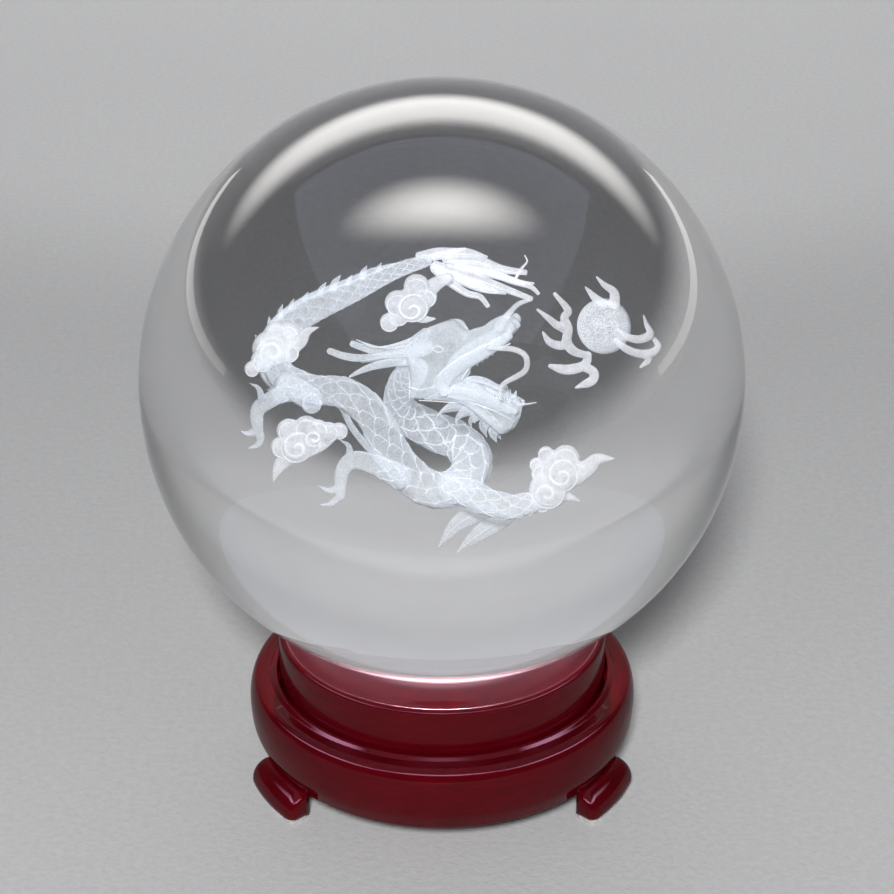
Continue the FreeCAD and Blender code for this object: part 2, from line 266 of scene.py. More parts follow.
def melded(build, voxel, smooth_steps=4):
    """A new build: this one's overlapping parts run together into one closed skin."""
    obj = make_object("meld", np.vstack(build.verts), build.faces, build.slots, [])
    remesh = obj.modifiers.new("remesh", "REMESH")
    remesh.mode = "VOXEL"
    remesh.voxel_size = voxel
    ease = obj.modifiers.new("ease", "SMOOTH")
    ease.factor = 0.5
    ease.iterations = smooth_steps
    shape = obj.evaluated_get(bpy.context.evaluated_depsgraph_get()).to_mesh()
    skin = Build()
    skin.add([v.co for v in shape.vertices], [tuple(p.vertices) for p in shape.polygons])
    bpy.data.objects.remove(obj)
    return skin


# ---------------------------------------------------------------- materials
class Nodes:
    """Short names for building a node tree."""

    def __init__(self, tree):
        self.tree = tree

    def node(self, kind, sockets=None, **settings):
        """A new node. sockets names what goes into it: numbers, colours or other outputs."""
        made = self.tree.nodes.new(kind)
        for key, value in settings.items():
            setattr(made, key, value)
        for key, value in (sockets or {}).items():
            if hasattr(value, "links"):
                self.tree.links.new(value, made.inputs[key])
            else:
                made.inputs[key].default_value = value
        return made


class Material(Nodes):
    """A new material, whose patterns lie in its object's own space."""

    def __init__(self, name):
        self.material = bpy.data.materials.new(name)
        self.material.use_nodes = True
        super().__init__(self.material.node_tree)
        self.tree.nodes.clear()
        self.out = self.node("ShaderNodeOutputMaterial")
        self.coords = self.node("ShaderNodeTexCoord").outputs["Object"]

    def noise(self, scale, detail=2.0, rough=0.5, stretch=None):
        made = self.node("ShaderNodeTexNoise",
                         {"Scale": scale, "Detail": detail, "Roughness": rough})
        where = self.coords
        if stretch:
            mapping = self.node("ShaderNodeMapping", {"Scale": stretch, "Vector": self.coords})
            where = mapping.outputs["Vector"]
        self.tree.links.new(where, made.inputs["Vector"])
        return made.outputs["Fac"]

    def ramp(self, value, low, high, to_low=0.0, to_high=1.0):
        ends = {"From Min": low, "From Max": high, "To Min": to_low, "To Max": to_high}
        return self.node("ShaderNodeMapRange", {"Value": value, **ends}, clamp=True).outputs[0]

    def math(self, operation, a, b, clamp=False):
        return self.node("ShaderNodeMath", {0: a, 1: b}, operation=operation,
                         use_clamp=clamp).outputs[0]

    def blend(self, share, a, b):
        made = self.node("ShaderNodeMix", {"Factor": share}, data_type="RGBA")
        for key, colour in (("A", a), ("B", b)):
            if isinstance(colour, tuple):
                made.inputs[key].default_value = (*colour, 1)
            else:
                self.tree.links.new(colour, made.inputs[key])
        return made.outputs["Result"]

    def bump(self, height, strength, distance):
        sockets = {"Strength": strength, "Distance": distance, "Height": height}
        return self.node("ShaderNodeBump", sockets).outputs["Normal"]

    def shader(self, **sockets):
        sockets = {key.replace("_", " "): value for key, value in sockets.items()}
        return self.node("ShaderNodeBsdfPrincipled", sockets).outputs[0]

    def done(self, shader):
        """The finished material."""
        self.tree.links.new(shader, self.out.inputs["Surface"])
        return self.material

    def finish(self, **sockets):
        return self.done(self.shader(**sockets))


def engraving(name, tint, cover, edge, grain, glow):
    """Laser marks in glass: a veil of tiny white cracks, denser where a skin is seen edge on.

    cover is how much the veil hides, edge what it gains at the rim, grain how unevenly its
    specks lie, and glow a painted glow: emission that makes the marks shine on their own, beyond
    the lamps' light."""
    n = Material(name)
    fine = n.noise(9000, 1.0)
    coarse = n.noise(1400, 2.0)
    speck = n.ramp(fine, 0.36, 0.64, 1 - grain, 1 + grain)
    patch = n.ramp(coarse, 0.3, 0.7, 0.8, 1.15)
    facing = n.node("ShaderNodeLayerWeight", {"Blend": 0.5})
    rim = n.math("MULTIPLY", n.math("POWER", facing.outputs["Facing"], 1.7), edge)
    veil = n.math("MULTIPLY", n.math("MULTIPLY", speck, patch), cover)
    colour = n.blend(n.ramp(fine, 0.3, 0.7), tuple(0.86 * c for c in tint), tint)
    # The emission is a painted glow: the marks give off light of their own, added to what the lamps
    # give them.
    return n.finish(Base_Color=colour, Roughness=0.75, Specular_IOR_Level=0.1,
                    Alpha=n.math("ADD", veil, rim, clamp=True),
                    Emission_Color=(*tint, 1), Emission_Strength=glow)


def crystal():
    """Optical glass. Shadow rays leave through it but hardly enter, so lamps light the
    engraving inside and the ball still casts a shadow."""
    n = Material("crystal")
    glass = n.shader(Base_Color=(1, 1, 1, 1), Roughness=0.0, IOR=1.52, Transmission_Weight=1.0)
    clear = n.node("ShaderNodeBsdfTransparent")
    lamp = n.node("ShaderNodeLightPath").outputs["Is Shadow Ray"]
    behind = n.node("ShaderNodeNewGeometry").outputs["Backfacing"]
    share = n.math("MULTIPLY", lamp, n.math("ADD", n.math("MULTIPLY", behind, 0.95), 0.05))
    mix = n.node("ShaderNodeMixShader", {0: share, 1: glass, 2: clear.outputs[0]})
    return n.done(mix.outputs[0])


def lacquer(name, gloss=0.045):
    """Dark red lacquer over turned wood. gloss is the roughness of its top coat."""
    n = Material(name)
    grain = n.noise(220, 6.0, 0.6, stretch=(1, 1, 6))
    cloud = n.noise(60, 3.0)
    deep = n.blend(n.ramp(grain, 0.35, 0.7), (0.070, 0.0006, 0.0030), (0.098, 0.0010, 0.0045))
    colour = n.blend(n.ramp(cloud, 0.35, 0.7, 0, 0.35), deep, (0.050, 0.0004, 0.0020))
    peel = n.noise(380, 2.0)
    wear = n.noise(150, 5.0, 0.7)
    return n.finish(Base_Color=colour, Roughness=n.ramp(wear, 0.4, 0.75, 0.4, 0.55),
                    Specular_IOR_Level=0.0, Coat_Weight=0.45, Coat_Roughness=gloss,
                    Coat_IOR=1.4, Normal=n.bump(peel, 0.07, 0.0003))


def soft_clear():
    """Clear bumper pads, a little cloudy."""
    n = Material("pad_clear")
    shade = n.blend(n.ramp(n.noise(900), 0.35, 0.65), (0.62, 0.58, 0.53), (0.74, 0.71, 0.67))
    return n.finish(Base_Color=shade, Roughness=0.32, Transmission_Weight=0.35, IOR=1.45,
                    Normal=n.bump(n.noise(1500), 0.15, 0.0002))


def rubber():
    n = Material("seat_rubber")
    shade = n.blend(n.noise(2500), (0.018, 0.016, 0.016), (0.035, 0.03, 0.03))
    return n.finish(Base_Color=shade, Roughness=n.ramp(n.noise(1800), 0.3, 0.7, 0.5, 0.7),
                    Normal=n.bump(n.noise(3000), 0.2, 0.0001))


def metal(name, colour, rough):
    """Metal with faint turning marks."""
    n = Material(name)
    turned = n.noise(900, 3.0, stretch=(1, 1, 9))
    shade = n.blend(turned, tuple(0.8 * c for c in colour), colour)
    return n.finish(Base_Color=shade, Metallic=1.0,
                    Roughness=n.ramp(turned, 0.3, 0.7, rough * 0.8, rough * 1.3),
                    Normal=n.bump(turned, 0.1, 0.0001))


def plastic(name, colour, rough):
    n = Material(name)
    shade = n.blend(n.noise(1200), tuple(0.9 * c for c in colour), colour)
    return n.finish(Base_Color=shade, Roughness=rough,
                    Normal=n.bump(n.noise(2600), 0.1, 0.0001))


def floor_paper():
    n = Material("floor_paper")
    fibre = n.noise(900, 5.0, 0.65)
    tone = n.noise(9, 2.0)
    shade = n.blend(n.ramp(fibre, 0.3, 0.7), (0.60, 0.60, 0.605), (0.68, 0.68, 0.68))
    shade = n.blend(n.ramp(tone, 0.3, 0.7, 0, 0.25), shade, (0.56, 0.56, 0.57))
    return n.finish(Base_Color=shade, Roughness=0.85, Specular_IOR_Level=0.25,
                    Normal=n.bump(fibre, 0.35, 0.0003))


# The last number of each is a painted glow, emission that lets the marks shine without a lamp.
SKIN = engraving("engraving_dragon", (0.88, 0.93, 1.0), 0.28, 0.85, 0.16, 0.21)
LINE = engraving("engraving_line", (0.93, 0.96, 1.0), 0.34, 0.2, 0.2, 0.26)
HEAD = engraving("engraving_head", (0.89, 0.94, 1.0), 0.34, 0.95, 0.14, 0.21)
DENSE = engraving("engraving_cloud", (0.93, 0.95, 1.0), 0.41, 0.6, 0.08, 0.22)
CURL = engraving("engraving_curl", (0.95, 0.97, 1.0), 0.45, 0.3, 0.1, 0.32)
GRAINY = engraving("engraving_pearl", (0.90, 0.94, 1.0), 0.38, 0.9, 0.6, 0.28)


# ---------------------------------------------------------------- dragon
BODY_ROUTE = [(-2.5, -2, 2), (-3.5, 0, -0.5), (-3.5, 1.5, -3.5), (-1, 2, -5.5),
              (1.5, 1.8, -6.6), (2.6, -1, -7.4), (1, -4.8, -8.2), (-1.6, -6.3, -7.4),
              (-4.2, -7, -4.4), (-6.5, -6.9, 0), (-9, -6, 1.7), (-12, -4, 1.2),
              (-14.6, -1.5, 1.7), (-14.3, 2.2, 3.1), (-11.5, 5, 4.1), (-7.2, 7.5, 4.8),
              (-4, 8, 6.3), (-1.3, 8, 7.4)]
BODY_PATH = curve(BODY_ROUTE, 520)
BODY_RADII = [1.3, 1.25, 1.55, 1.65, 1.6, 1.65, 1.6, 1.5, 1.3, 1.25, 1.3, 1.1, 0.75, 0.5]
BODY_WIRES = [0.075, 0.085, 0.1, 0.1, 0.085, 0.07, 0.06, 0.055, 0.05, 0.045, 0.035, 0.04, 0.045]
BODY_SIDES = 56
SCALE_LONG = 0.88  # scale length, as a share of the body's radius
SCALES_ROUND = 6  # scales round the body
SCALE_RISE = 0.07  # how far a scale's edge stands out, as a share of the radius
SMALL_START = 0.4  # how much smaller the first scales of the body are
SMALL_REACH = 4.0  # and how soon they reach full size
LINE_LIFT = 1.01  # scale lines run this far from the middle, in radii
TO_FRONT = np.array((0, -0.9, 0.44))
FACES_FRONT = -0.25  # scales that face along TO_FRONT more than this are drawn in full
BACK_DEPTH = 0.92  # the crest's root lies this far from the middle, in radii


def scale_rows(path, radii, long, small_start):
    """The running count of scale rows along a path; the first few rows can be smaller."""
    step = np.concatenate([[0], np.linalg.norm(np.diff(path, axis=0), axis=1)])
    along = np.cumsum(step)
    shrink = 1 - small_start * np.exp(-along / SMALL_REACH)
    return np.cumsum(step / (long * radii * shrink))


def scale_net(build, path, radii, wires, long=SCALE_LONG, count=SCALES_ROUND,
              small_start=0.0, stop=1.0):
    """Thin curved lines: the edge of each scale towards the front and plain rungs behind.

    wires are the lines' radii along the path; stop is the share of it that has scales."""
    n = len(path)
    radii = spread(radii, n)
    _, side, other = frames(path, np.cross((0, -1, 0), path[1] - path[0]))
    rows = scale_rows(path, radii, long, small_start)

    def surface(row, turn):
        at = np.interp(row, rows, np.arange(n))
        i = min(int(at), n - 2)
        f = at - i
        mid = path[i] * (1 - f) + path[i + 1] * f
        r = radii[i] * (1 - f) + radii[i + 1] * f
        out = side[i] * math.cos(turn) + other[i] * math.sin(turn)
        return mid + r * LINE_LIFT * out, out

    wires = spread(wires, n)
    cell = 2 * math.pi / count
    for row in range(int(rows[-1] * stop)):
        wire = wires[min(int(np.interp(row, rows, np.arange(n))), n - 1)]
        for k in range(count):
            mid = (k + 0.5 * (row % 2)) * cell
            front = surface(row + 0.5, mid)[1].dot(TO_FRONT) > FACES_FRONT
            arc = []
            for u in np.linspace(-0.5, 0.5, 9):
                reach = 1.0 - abs(2 * u) ** 2.4 if front else 0.5
                arc.append(surface(min(row + reach, rows[-1]), mid + u * cell)[0])
            thick = wire if front else 0.4 * wire
            build.tube(np.array(arc), [0.6 * thick, 1.2 * thick, 0.6 * thick], sides=5, slot=1)


def body_relief(radii):
    """How far each scale stands out, for the rings of the body's skin."""
    rows = scale_rows(BODY_PATH, radii, SCALE_LONG, SMALL_START)
    grow = np.ones((len(BODY_PATH), BODY_SIDES))
    turn = np.arange(BODY_SIDES) / BODY_SIDES * SCALES_ROUND
    for i, row in enumerate(rows):
        u = turn - 0.5 * (int(row) % 2)
        u = np.abs(u - np.round(u)) * 2
        grow[i] = 1 + SCALE_RISE * (row % 1) * (1 - u ** 2)
    return grow


def body_back():
    """The body's tangents, the ways out of its back, and the line where its crest stands."""
    tangent = unit(np.gradient(BODY_PATH, axis=0))
    back = unit(np.stack([-tangent[:, 2], 0 * tangent[:, 1], tangent[:, 0]], axis=1))
    radii = spread(BODY_RADII, len(BODY_PATH))
    return tangent, back, BODY_PATH + back * radii[:, None] * BACK_DEPTH


def fin(build, start, stop, height):
    """A low thin fin along the dragon's back, from start to stop of its length."""
    tangent, back, root = body_back()
    depth = unit(np.cross(tangent, back))
    count = len(root)
    rings = []
    for i in range(int(start * count), int(stop * count)):
        share = (i / count - start) / (stop - start)
        rise = height * min(1, 8 * share, 8 * (1 - share))
        tip = root[i] + back[i] * rise
        half = depth[i] * 0.1
        rings.append([root[i] - half, (root[i] + tip) / 2 - half * 0.6, tip,
                      (root[i] + tip) / 2 + half * 0.6, root[i] + half])
    build.rings(rings)


def spines(build, places):
    """Leaf-shaped spines that lean back along the body. Places are (share, height)."""
    tangent, back, root = body_back()
    for share, height in places:
        i = int(share * len(root))
        lean = 0.9 * height * tangent[i]
        line = [root[i] - 0.1 * height * back[i], root[i] + 0.5 * height * back[i] + 0.3 * lean,
                root[i] + height * back[i] + lean]
        build.strand(line, 10, [0.34 * height, 0.3 * height, 0.03], sides=10, flat=0.35)


def dragon_body():
    radii = spread(BODY_RADII, len(BODY_PATH))
    build = Build()
    build.tube(BODY_PATH, radii, sides=BODY_SIDES, relief=body_relief(radii))
    scale_net(build, BODY_PATH, radii, BODY_WIRES, small_start=SMALL_START)
    return engraved("dragon_body", build, [SKIN, LINE])


def dragon_crest():
    """The fin and spines of the upper arc, and the ridge down the loop in front."""
    build = Build()
    fin(build, 0.62, 0.97, 0.6)
    spines(build, [(0.655, 0.8), (0.675, 1), (0.705, 0.8), (0.725, 1), (0.75, 0.8),
                   (0.77, 0.9), (0.79, 0.8), (0.815, 0.7), (0.84, 0.9), (0.86, 1.1),
                   (0.885, 0.7), (0.91, 0.9), (0.935, 0.6)])
    ridge = [(-10.4, -5.9, 1), (-9.2, -6.3, 0.3), (-8.4, -6.8, -1.2), (-7.3, -7.2, -2.6),
             (-5.8, -7.4, -4.2), (-4.9, -7.2, -5.4)]
    build.strand(ridge, 50, [0.25, 0.3, 0.32, 0.34, 0.4, 0.4], sides=14, flat=0.5)
    return engraved("dragon_crest", build, [SKIN, LINE])


def head_place(h, k, depth):
    """The head lies in an upright plane that swings towards the front at the nose."""
    return (h + 0.28 * depth, -3.9 - 0.29 * h + depth, k)


def on_head(points, lift=0.0):
    """Points of the head's plane, moved towards the front by lift."""
    return [head_place(h, k, -lift) for h, k in points]


UPPER_HEAD = [(-2.9, -0.1), (-3, 2.9), (-3.4, 4.5), (-2.7, 5.9), (-1.3, 7.2), (-0.1, 7.9),
              (1, 8.3), (1.6, 7.9), (2.2, 7.3), (3.1, 7.8), (3.8, 8.1), (4.6, 8.9),
              (5.3, 9.4), (6, 9.8), (6.7, 9.6), (7.2, 9.3), (7.5, 8.8), (6.9, 7.9),
              (6.3, 7.3), (5.5, 6.6), (4.9, 6), (4.3, 4.9), (3.6, 4.6), (3.1, 4.3),
              (2.7, 3.7), (2.6, 3), (2, 2.2), (1, 1.6), (-0.1, 0.7), (-1.4, 0)]
LOWER_JAW = [(-0.8, 1.4), (0.6, 1.9), (2, 2.3), (3, 2.2), (3.6, 1.9), (4.1, 1.4),
             (5, 1.1), (6.1, 1), (7.1, 1), (7.4, 0.3), (7.2, -0.7), (6.7, -1.8),
             (5.7, -2.7), (5.1, -2.4), (4.2, -1.7), (3.3, -1), (2.3, -0.2), (1.2, 0.1),
             (-0.4, 0), (-1.9, -0.1)]
LIP = [(6.7, 8.3), (5.3, 7.1), (3.8, 5.9), (2.3, 4.7), (1.1, 3.4), (0.5, 2.2), (0.7, 1.4)]
LOWER_LIP = [(0.5, 1.5), (1.6, 1.35), (3, 1.3), (4.6, 0.9), (6.2, 0.5), (7.1, 0.2)]
BROW = [(-1.6, 6.1), (-0.1, 7), (1.2, 7.6), (2, 7)]
EYE = [(0.1 + 0.45 * math.cos(a), 6.0 + 0.32 * math.sin(a)) for a in np.linspace(0, 6.3, 24)]


def dragon_head():
    rough = Build()
    bumps = [(0.3, 5.8, 1.3, 0.4), (-1.4, 3.4, 1.6, 0.4), (6.3, 8.6, 0.7, 0.4),
             (1, 7.4, 0.7, 0.4), (3.6, 6.2, 0.8, 0.25)]
    rough.plate(UPPER_HEAD, head_place, 1.45, 1.7, 0.3, bumps=bumps)
    for side in (-1, 1):
        rough.strand(on_head(LIP, 1.15 * side), 40, [0.5, 0.75, 0.85, 0.85, 0.75, 0.6],
                     sides=18, flat=0.6)
        rough.ball(head_place(1.05, 6.9, 1.1 * side), 0.95, (1, 0.7, 1))
        rough.ball(head_place(6.6, 8.9, 0.8 * side), 0.65)
        rough.strand(on_head(BROW, 1.0 * side), 18, [0.2, 0.4, 0.4, 0.2], sides=12)
        for tooth in range(4):
            h, k = 3.4 + 0.5 * tooth, 0.42 * tooth
            rough.strand(on_head([(h, 4.9 + k), (h + 0.15, 4.3 + k)], 0.8 * side), 5,
                         [0.24, 0.06], sides=8)
    build = melded(rough, 0.1)
    for side in (-1, 1):
        build.strand(on_head(LIP, 1.35 * side), 40, [0.35, 0.6, 0.7, 0.75, 0.7, 0.6],
                     sides=18, flat=0.45, slot=3)
    build.tube(np.array(on_head(EYE, 1.62)), [0.06, 0.06], sides=6, slot=1)
    lines = [([(6.9, 8.9), (5, 7.3), (2.9, 5.9), (1, 4.3), (-0.1, 2.9), (-0.4, 1.8)], 1.4, 1),
             ([(6.8, 7.4), (4.8, 6), (3.3, 4.8), (2.6, 3.8), (2.2, 3)], 1.2, 1),
             ([(-2.75, 2.7), (-2.7, 1.4), (-2.75, 0.1)], 0.75, 2),
             ([(-2.6, 1.6), (-1.6, 1.5), (-0.5, 1.9)], 1.45, 2)]
    for line, lift, slot in lines:
        build.strand(on_head(line, lift), 30, [0.06, 0.12, 0.07], sides=8, slot=slot)
    return engraved("dragon_head", build, [HEAD, CURL, LINE, SKIN])


def dragon_jaw():
    rough = Build()
    rough.plate(LOWER_JAW, head_place, 1.15, 1.1, 0.25, bumps=[(5.9, -0.9, 1, 0.3)])
    for side in (-1, 1):
        rough.strand(on_head(LOWER_LIP, 0.85 * side), 30, [0.5, 0.6, 0.6, 0.55, 0.45, 0.35],
                     sides=16, flat=0.6)
        for tooth in range(5):
            h = 4.3 + 0.55 * tooth
            rough.strand(on_head([(h, 1.1), (h + 0.1, 1.75 - 0.04 * tooth)], 0.7 * side), 5,
                         [0.2, 0.05], sides=8)
    tongue = [(1.9, 2.1), (2.9, 2.5), (4, 2.45), (5, 2.05), (5.9, 1.95)]
    rough.strand(on_head(tongue), 30, [0.28, 0.26, 0.22, 0.18], sides=12, flat=1.8)
    rough.strand(on_head([(5.9, 2.1), (5.95, 1)]), 8, [0.2, 0.28], sides=12)
    build = melded(rough, 0.09)
    for side in (-1, 1):
        build.strand(on_head(LOWER_LIP, 1.05 * side), 30, [0.6, 0.62, 0.6, 0.55, 0.45, 0.3],
                     sides=16, flat=0.45, slot=2)
        for line, lift in (([(0.9, 1), (2.8, 0.7), (4.8, 0.2), (6.6, -0.5)], 1.1),
                           ([(-1.9, 0), (0.4, 0.15), (2.3, 0.1), (4, -0.9), (5.2, -2.2)], 0.6)):
            build.strand(on_head(line, lift * side), 30, [0.04, 0.07, 0.04], sides=6, slot=1)
    beard = [((1.9, -0.1), (0.9, -0.5), (0.1, -1), (-0.4, -1.6)),
             ((2.8, -0.4), (2, -0.9), (1.5, -1.5), (1.4, -2.1)),
             ((3.4, -0.8), (3, -1.3), (2.7, -1.7), (2.8, -2.2)),
             ((4.1, -1.4), (3.9, -2), (4, -2.5), (4.2, -3)),
             ((4.9, -2.1), (4.8, -2.6), (4.9, -3), (5.1, -3.4))]
    for lock in beard:
        for lift in (0.35, -0.45):
            build.strand(on_head([(h - 0.12 * lift, k) for h, k in lock], lift), 20,
                         [0.5, 0.5, 0.34, 0.16, 0.03], sides=14, flat=0.3, slot=2)
    return engraved("dragon_jaw", build, [HEAD, CURL, SKIN])


HAIR = [0.05, 0.1, 0.13, 0.2, 0.32]
ANTLERS = [  # places on the head, lift, radii, flatness: antlers, ears, hairs
    ([(-9.9, 3.8), (-8.7, 3.5), (-7.2, 3.5), (-5.1, 4.1), (-2.6, 5), (-1.2, 5.4)],
     0.6, [0.3, 0.36, 0.32, 0.34, 0.45, 0.6], 1),
    ([(-8.2, 4), (-7.1, 3.7), (-5.7, 3.5), (-3.6, 4.2), (-1.6, 4.9)],
     -0.9, [0.3, 0.32, 0.3, 0.34, 0.5], 1),
    ([(-8.1, 1.4), (-7.3, 2), (-6.1, 2.7), (-4.5, 3.3), (-2.6, 3.8)],
     0.4, [0.12, 0.3, 0.4, 0.42, 0.5], 0.7),
    ([(-7.4, 2.3), (-5.6, 2.9), (-4, 3.6), (-2.4, 4.4)], -0.9, [0.08, 0.26, 0.34, 0.5], 0.7),
    ([(-7.9, 4.4), (-6.8, 4.1), (-5.5, 4), (-3.3, 5), (-1.8, 6.2)], -1, HAIR, 1),
    ([(-7.2, 4.5), (-6, 4.3), (-4.6, 4.7), (-2.8, 5.6), (-1.3, 6.6)], -0.3, HAIR, 1),
    ([(-5.4, 4.7), (-4.2, 4.9), (-2.9, 5.5), (-1.5, 6.3)], 0.4, HAIR, 1),
    ([(-4.6, 4), (-3.6, 4.3), (-2.4, 4.6), (-1.6, 4.9)], 0.8, HAIR, 1)]


def dragon_antlers():
    build = Build()
    for points, lift, radii, flat in ANTLERS:
        build.strand(on_head(points, lift), 40, radii, sides=16, flat=flat)
    return engraved("dragon_antlers", build, [HEAD, LINE])


def dragon_whiskers():
    build = Build()
    feeler = on_head([(5.4, 8.4), (5.7, 8.9), (6.5, 10.1), (7.3, 11.1), (8.4, 11.8)])
    build.strand(feeler, 24, [0.5, 0.36, 0.26, 0.24, 0.2], sides=12)
    curl = [(5, 7.1), (6.1, 7.2), (7.3, 7.3), (8.3, 7), (8.7, 6.3), (8.5, 5.2), (7.6, 4.4),
            (6.6, 3.7), (6.1, 3), (6, 1.9)]
    build.strand(on_head(curl, 2), 70, [0.24, 0.27, 0.29, 0.28, 0.24, 0.2], sides=12)
    chin = on_head([(6.9, 0.5), (7.6, 0.6), (8.7, 0.9)])
    build.strand(chin, 10, [0.16, 0.05], sides=8)
    return engraved("dragon_whiskers", build, [DENSE, LINE])


TAIL_LOCKS = [  # route, radii
    ([(-2, 8.2, 7.7), (-0.2, 8.4, 8), (0.8, 8.5, 8), (2, 8.4, 8.3)], [0.34, 0.4, 0.3, 0.1]),
    ([(-1.2, 8.2, 7.5), (0.7, 8.4, 7.8), (2.2, 8.4, 7.9), (3.8, 8.2, 7.6)], [0.3, 0.4, 0.4, 0.12]),
    ([(0.2, 8, 7.5), (3, 8, 7.4), (5, 7.6, 6.8), (7.1, 7.2, 6.7)], [0.3, 0.42, 0.36, 0.24]),
    ([(0.6, 7.8, 7.2), (3.6, 7.4, 6.9), (5.8, 6.8, 6.2), (7.5, 6.4, 5.8), (8.2, 6.2, 5.2)],
     [0.3, 0.42, 0.36, 0.3, 0.16]),
    ([(1.2, 7.6, 7.1), (4.7, 7, 6.5), (6.7, 6.6, 6.1), (7.8, 6.4, 6.1)], [0.26, 0.36, 0.3, 0.1]),
    ([(-0.6, 7.9, 7.1), (2.3, 7.2, 6.4), (5, 6.6, 5.6), (7.6, 6, 4.8)], [0.3, 0.4, 0.34, 0.22]),
    ([(-0.8, 7.9, 6.9), (1.6, 7.2, 5.9), (3.6, 6.7, 5.3), (5.4, 6.2, 5.2)], [0.3, 0.36, 0.3, 0.08]),
    ([(-0.7, 7.8, 6.7), (0.5, 7.3, 5.8), (2.1, 6.8, 4.9), (3.2, 6.4, 4.8), (3.9, 6, 4.1)],
     [0.3, 0.34, 0.3, 0.26, 0.2]),
    ([(-0.4, 7.7, 6.6), (1.9, 7, 6), (3.2, 6.8, 5.7), (4.7, 6.5, 5.2)], [0.26, 0.34, 0.3, 0.1])]


def dragon_tail_tuft():
    build = Build()
    for route, radii in TAIL_LOCKS:
        build.strand(route, 36, [1.12 * r for r in radii], sides=14, flat=0.55)
        inner = curve([(x, y - 0.25, z) for x, y, z in route], 30)[2:-3]
        build.tube(inner, [0.03, 0.06, 0.03], sides=5, slot=1)
    curl = [(6.1, 7, 6), (6.7, 7.6, 6.8), (7.2, 7.8, 7.4), (7, 8, 7.9)]
    build.strand(curl, 20, [0.14, 0.12, 0.05], sides=8, slot=1)
    return engraved("dragon_tail_tuft", build, [DENSE, CURL])


def dragon_leg(name, route, radii, claws, thigh=None):
    """A leg with claws and a few scales at its top; a thigh also has a raised ring."""
    rough = Build()
    rough.strand(route, 60, radii, sides=16)
    for claw in claws:
        rough.strand(claw, 14, [0.42, 0.36, 0.22, 0.05], sides=10)
    if thigh:
        rough.strand(thigh, 20, [1.15, 1.12], sides=28)
    build = melded(rough, 0.09, 3)
    scale_net(build, curve(route, 60), radii, (0.05, 0.05), 0.9, 5, stop=0.25)
    if thigh:
        middle_of_ring = np.array(thigh[-1]) - (0, 1.1, 0)
        ring = [middle_of_ring + (0.8 * math.cos(a), 0.2 * math.sin(a), 0.8 * math.sin(a))
                for a in np.linspace(0, 2 * math.pi, 40)]
        build.tube(np.array(ring), [0.17, 0.17], sides=8)
    return engraved(name, build, [SKIN, LINE])


def dragon_foreleg_left():
    return dragon_leg(
        "dragon_foreleg_left",
        [(-3.9, -7.6, -6), (-6.1, -8.5, -4.5), (-8.2, -9, -3.8), (-9.3, -9.5, -4.8),
         (-9.5, -10.0, -7.0)], [1.2, 1.0, 0.9, 0.7, 0.5],
        [[(-8.6, -9, -3.9), (-8.7, -9, -2.4), (-9.6, -9, -1.7)],
         [(-9.4, -10, -6.2), (-10.6, -10, -6.5), (-11.6, -10, -6)],
         [(-9.4, -10, -6.9), (-10.3, -10, -7.8), (-11.5, -10, -8)]])


def dragon_hindleg():
    return dragon_leg(
        "dragon_hindleg",
        [(-13.8, -3.4, 0.9), (-15.6, -5, 0.7), (-17.1, -5.5, -0.2), (-17.2, -6, -1.6),
         (-16.8, -6.0, -3.0)], [1.2, 0.8, 0.75, 0.65, 0.4],
        [[(-16.7, -5.5, 0.4), (-17.2, -5.5, 1.9), (-18.2, -5.5, 2.5)],
         [(-17.1, -6, -2), (-18, -6, -2.5), (-18.9, -6, -2.2)],
         [(-16.8, -6, -2.7), (-17, -6, -3.6), (-18, -6, -4)]],
        [(-14.2, -4, 1.6), (-12.05, -4.9, 0.65)])


def dragon_foreleg_right():
    """The foreleg that reaches to the right; its foot is hidden in a cloud."""
    path = curve([(0.9, -5.8, -7.7), (2.6, -6.5, -8.1), (4.1, -7, -8.7), (6.2, -7, -9.2),
                  (8.0, -6.5, -9.0)], 60)
    radii = [1.4, 1.3, 1.2, 1.0]
    build = Build()
    build.tube(path, radii, sides=24)
    scale_net(build, path, radii, (0.07, 0.06))
    return engraved("dragon_foreleg_right", build, [SKIN, LINE])


def dragon_leg_flames():
    build = Build()
    leaves = [[(4.9, -6.2, -9.6), (2.9, -5.6, -10.3), (1.2, -5, -11.6), (-0.3, -4.5, -13.7)],
              [(6.6, -6, -10.2), (4.6, -5.5, -11.3), (2.7, -5, -12.8), (1.3, -4.5, -14.2)]]
    for leaf in leaves:
        build.strand(leaf, 40, [0.3, 0.75, 0.85, 0.7, 0.4, 0.05], sides=18, flat=0.3)
        vein = [(x, y - 0.2, z) for x, y, z in leaf]
        build.strand(vein, 30, [0.07, 0.04], sides=5, slot=1)
    return engraved("dragon_leg_flames", build, [SKIN, LINE])


# ---------------------------------------------------------------- clouds and pearl
LOBE_DEPTH = 0.72  # a lobe's depth, as a share of its height
CURL_TURNS = 2.5 * math.pi  # a curl winds through this angle
HALF_RIM = 1.9  # a lobe's rim line runs this far both ways from its outside


def lobe_line(build, lobe, reaches, turns, radii, slot):
    """A raised line on a lobe's front. Each place is a reach and a turn from its middle."""
    x, y, z, r = lobe
    points = []
    for reach, turn in zip(reaches, turns):
        rise = LOBE_DEPTH * math.sqrt(max(r * r * 1.06 - reach * reach, 0.01))
        points.append((x + reach * math.cos(turn), y - rise, z + reach * math.sin(turn)))
    build.tube(np.array(points), radii, sides=8, slot=slot)


